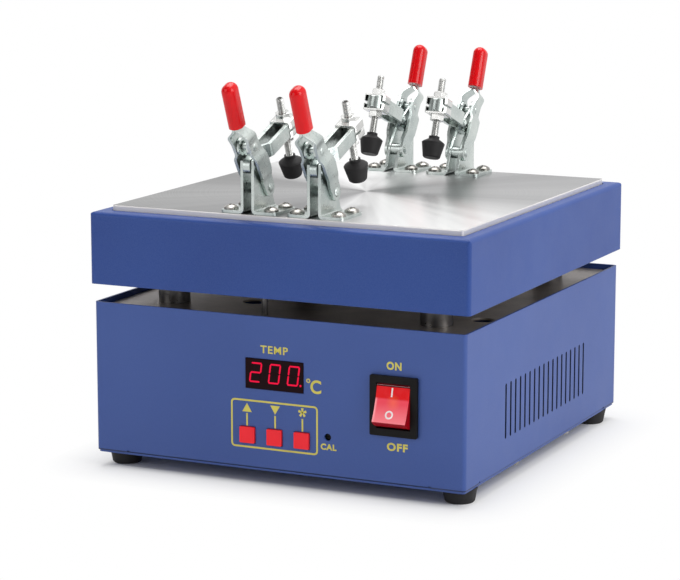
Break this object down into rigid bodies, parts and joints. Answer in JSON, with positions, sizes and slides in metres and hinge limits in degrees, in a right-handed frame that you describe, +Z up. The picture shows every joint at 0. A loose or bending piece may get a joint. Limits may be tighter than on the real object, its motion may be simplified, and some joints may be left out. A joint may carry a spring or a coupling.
{
  "type": "lcd screen separator",
  "caption": "Two-storey blue hot plate with raised toggle clamps that hold a screen flat, a red digit readout, push buttons and a rocker switch.",
  "frame": {"origin": "on the table, under the middle of the housing and of the clamps' reach", "axes": "+X to the right along the control panel, +Y from the panel to the back, +Z up"},
  "size_m": [0.216, 0.2494, 0.2094],
  "materials": {
    "blue_paint": "satin",
    "plain_steel": "satin",
    "turned_aluminium": "satin",
    "zinc_plate": "satin",
    "bright_hardware": "polished",
    "black_rubber": "matte",
    "red_vinyl": "gloss",
    "red_keys": "satin",
    "red_rocker": "gloss",
    "black_plastic": "satin",
    "red_lens": "gloss",
    "circuit_board": "satin",
    "laminated_iron": "satin",
    "mica_sheet": "matte",
    "ceramic_wool": "matte"
  },
  "bodies": {
    "housing": {"base_shell": "blue_paint", "bottom_plate": "blue_paint", "deck_plate": "plain_steel", "rubber_feet": "black_rubber", "case_screws": "bright_hardware", "standoffs": "turned_aluminium", "upper_shell": "blue_paint", "upper_floor": "plain_steel", "heating_plate": "turned_aluminium", "plate_posts": "turned_aluminium", "heater_element": "mica_sheet", "insulation_board": "ceramic_wool", "thermocouple": "bright_hardware", "display_window": "red_lens", "display_module": "black_plastic", "button_board": "circuit_board", "switch_bezel": "black_plastic", "main_board": "circuit_board", "transformer": "laminated_iron", "heatsink": "turned_aluminium", "cord_gland": "black_plastic", "clamp_screws": "bright_hardware", "base_rivets": "zinc_plate", "front_left_base": "zinc_plate", "front_right_base": "zinc_plate", "rear_left_base": "zinc_plate", "rear_right_base": "zinc_plate"},
    "up_key": {"up_button": "red_keys"},
    "down_key": {"down_button": "red_keys"},
    "set_key": {"set_button": "red_keys"},
    "rocker": {"power_rocker": "red_rocker"},
    "trimmer": {"calibration_trimmer": "black_plastic"},
    "front_left_bar": {"front_left_arm": "zinc_plate"},
    "front_left_press": {"front_left_spindle": "bright_hardware", "front_left_nuts": "bright_hardware", "front_left_tip": "black_rubber"},
    "front_left_lever": {"front_left_handle": "zinc_plate", "front_left_grip": "red_vinyl"},
    "front_left_toggle": {"front_left_link": "zinc_plate"},
    "front_right_bar": {"front_right_arm": "zinc_plate"},
    "front_right_press": {"front_right_spindle": "bright_hardware", "front_right_nuts": "bright_hardware", "front_right_tip": "black_rubber"},
    "front_right_lever": {"front_right_handle": "zinc_plate", "front_right_grip": "red_vinyl"},
    "front_right_toggle": {"front_right_link": "zinc_plate"},
    "rear_left_bar": {"rear_left_arm": "zinc_plate"},
    "rear_left_press": {"rear_left_spindle": "bright_hardware", "rear_left_nuts": "bright_hardware", "rear_left_tip": "black_rubber"},
    "rear_left_lever": {"rear_left_handle": "zinc_plate", "rear_left_grip": "red_vinyl"},
    "rear_left_toggle": {"rear_left_link": "zinc_plate"},
    "rear_right_bar": {"rear_right_arm": "zinc_plate"},
    "rear_right_press": {"rear_right_spindle": "bright_hardware", "rear_right_nuts": "bright_hardware", "rear_right_tip": "black_rubber"},
    "rear_right_lever": {"rear_right_handle": "zinc_plate", "rear_right_grip": "red_vinyl"},
    "rear_right_toggle": {"rear_right_link": "zinc_plate"}
  },
  "joints": [
    {"name": "up_button_press", "type": "slide", "parent": "housing", "child": "up_key", "axis": [0, 1, 0], "range_m": [0, 0.0007], "stiffness_N_per_m": 300, "springref_m": -0.0005},
    {"name": "down_button_press", "type": "slide", "parent": "housing", "child": "down_key", "axis": [0, 1, 0], "range_m": [0, 0.0007], "stiffness_N_per_m": 300, "springref_m": -0.0005},
    {"name": "set_button_press", "type": "slide", "parent": "housing", "child": "set_key", "axis": [0, 1, 0], "range_m": [0, 0.0007], "stiffness_N_per_m": 300, "springref_m": -0.0005},
    {"name": "rocker_tilt", "type": "hinge", "parent": "housing", "child": "rocker", "pos_m": [0.0675, -0.1118, 0.0496], "axis": [1, 0, 0], "range_deg": [0, 40]},
    {"name": "trimmer_turn", "type": "hinge", "parent": "housing", "child": "trimmer", "pos_m": [0.0302, -0.11, 0.0297], "axis": [0, 1, 0], "range_deg": [-130, 130]},
    {"name": "front_left_bar_pivot", "type": "hinge", "parent": "housing", "child": "front_left_bar", "pos_m": [-0.0204, -0.0989, 0.1646], "axis": [1, 0, 0], "range_deg": [-12.5, 79.5]},
    {"name": "front_left_press_slide", "type": "slide", "parent": "front_left_bar", "child": "front_left_press", "axis": [0, 0.9367, 0.3502], "range_m": [-0.012, 0]},
    {"name": "front_left_lever_pivot", "type": "hinge", "parent": "housing", "child": "front_left_lever", "pos_m": [-0.0204, -0.0859, 0.1519], "axis": [1, 0, 0], "range_deg": [-4.6, 28.7]},
    {"name": "front_left_toggle_pivot", "type": "hinge", "parent": "front_left_bar", "child": "front_left_toggle", "pos_m": [-0.0204, -0.09025, 0.16831], "axis": [1, 0, 0], "range_deg": [-2.9, 0.5]},
    {"name": "front_right_bar_pivot", "type": "hinge", "parent": "housing", "child": "front_right_bar", "pos_m": [0.0176, -0.0989, 0.1646], "axis": [1, 0, 0], "range_deg": [-12.5, 79.5]},
    {"name": "front_right_press_slide", "type": "slide", "parent": "front_right_bar", "child": "front_right_press", "axis": [0, 0.9367, 0.3502], "range_m": [-0.012, 0]},
    {"name": "front_right_lever_pivot", "type": "hinge", "parent": "housing", "child": "front_right_lever", "pos_m": [0.0176, -0.0859, 0.1519], "axis": [1, 0, 0], "range_deg": [-4.6, 28.7]},
    {"name": "front_right_toggle_pivot", "type": "hinge", "parent": "front_right_bar", "child": "front_right_toggle", "pos_m": [0.0176, -0.09025, 0.16831], "axis": [1, 0, 0], "range_deg": [-2.9, 0.5]},
    {"name": "rear_left_bar_pivot", "type": "hinge", "parent": "housing", "child": "rear_left_bar", "pos_m": [-0.0204, 0.0989, 0.1646], "axis": [-1, 0, 0], "range_deg": [-12.5, 79.5]},
    {"name": "rear_left_press_slide", "type": "slide", "parent": "rear_left_bar", "child": "rear_left_press", "axis": [0, -0.9367, 0.3502], "range_m": [-0.012, 0]},
    {"name": "rear_left_lever_pivot", "type": "hinge", "parent": "housing", "child": "rear_left_lever", "pos_m": [-0.0204, 0.0859, 0.1519], "axis": [-1, 0, 0], "range_deg": [-4.6, 28.7]},
    {"name": "rear_left_toggle_pivot", "type": "hinge", "parent": "rear_left_bar", "child": "rear_left_toggle", "pos_m": [-0.0204, 0.09025, 0.16831], "axis": [-1, 0, 0], "range_deg": [-2.9, 0.5]},
    {"name": "rear_right_bar_pivot", "type": "hinge", "parent": "housing", "child": "rear_right_bar", "pos_m": [0.0176, 0.0989, 0.1646], "axis": [-1, 0, 0], "range_deg": [-12.5, 79.5]},
    {"name": "rear_right_press_slide", "type": "slide", "parent": "rear_right_bar", "child": "rear_right_press", "axis": [0, -0.9367, 0.3502], "range_m": [-0.012, 0]},
    {"name": "rear_right_lever_pivot", "type": "hinge", "parent": "housing", "child": "rear_right_lever", "pos_m": [0.0176, 0.0859, 0.1519], "axis": [-1, 0, 0], "range_deg": [-4.6, 28.7]},
    {"name": "rear_right_toggle_pivot", "type": "hinge", "parent": "rear_right_bar", "child": "rear_right_toggle", "pos_m": [0.0176, 0.09025, 0.16831], "axis": [-1, 0, 0], "range_deg": [-2.9, 0.5]}
  ],
  "couplings": [
    {"joint": "front_left_lever_pivot", "follows": "front_left_bar_pivot", "ratio": 0.36},
    {"joint": "front_left_toggle_pivot", "follows": "front_left_bar_pivot", "ratio": -0.035},
    {"joint": "front_right_lever_pivot", "follows": "front_right_bar_pivot", "ratio": 0.36},
    {"joint": "front_right_toggle_pivot", "follows": "front_right_bar_pivot", "ratio": -0.035},
    {"joint": "rear_left_lever_pivot", "follows": "rear_left_bar_pivot", "ratio": 0.36},
    {"joint": "rear_left_toggle_pivot", "follows": "rear_left_bar_pivot", "ratio": -0.035},
    {"joint": "rear_right_lever_pivot", "follows": "rear_right_bar_pivot", "ratio": 0.36},
    {"joint": "rear_right_toggle_pivot", "follows": "rear_right_bar_pivot", "ratio": -0.035}
  ]
}
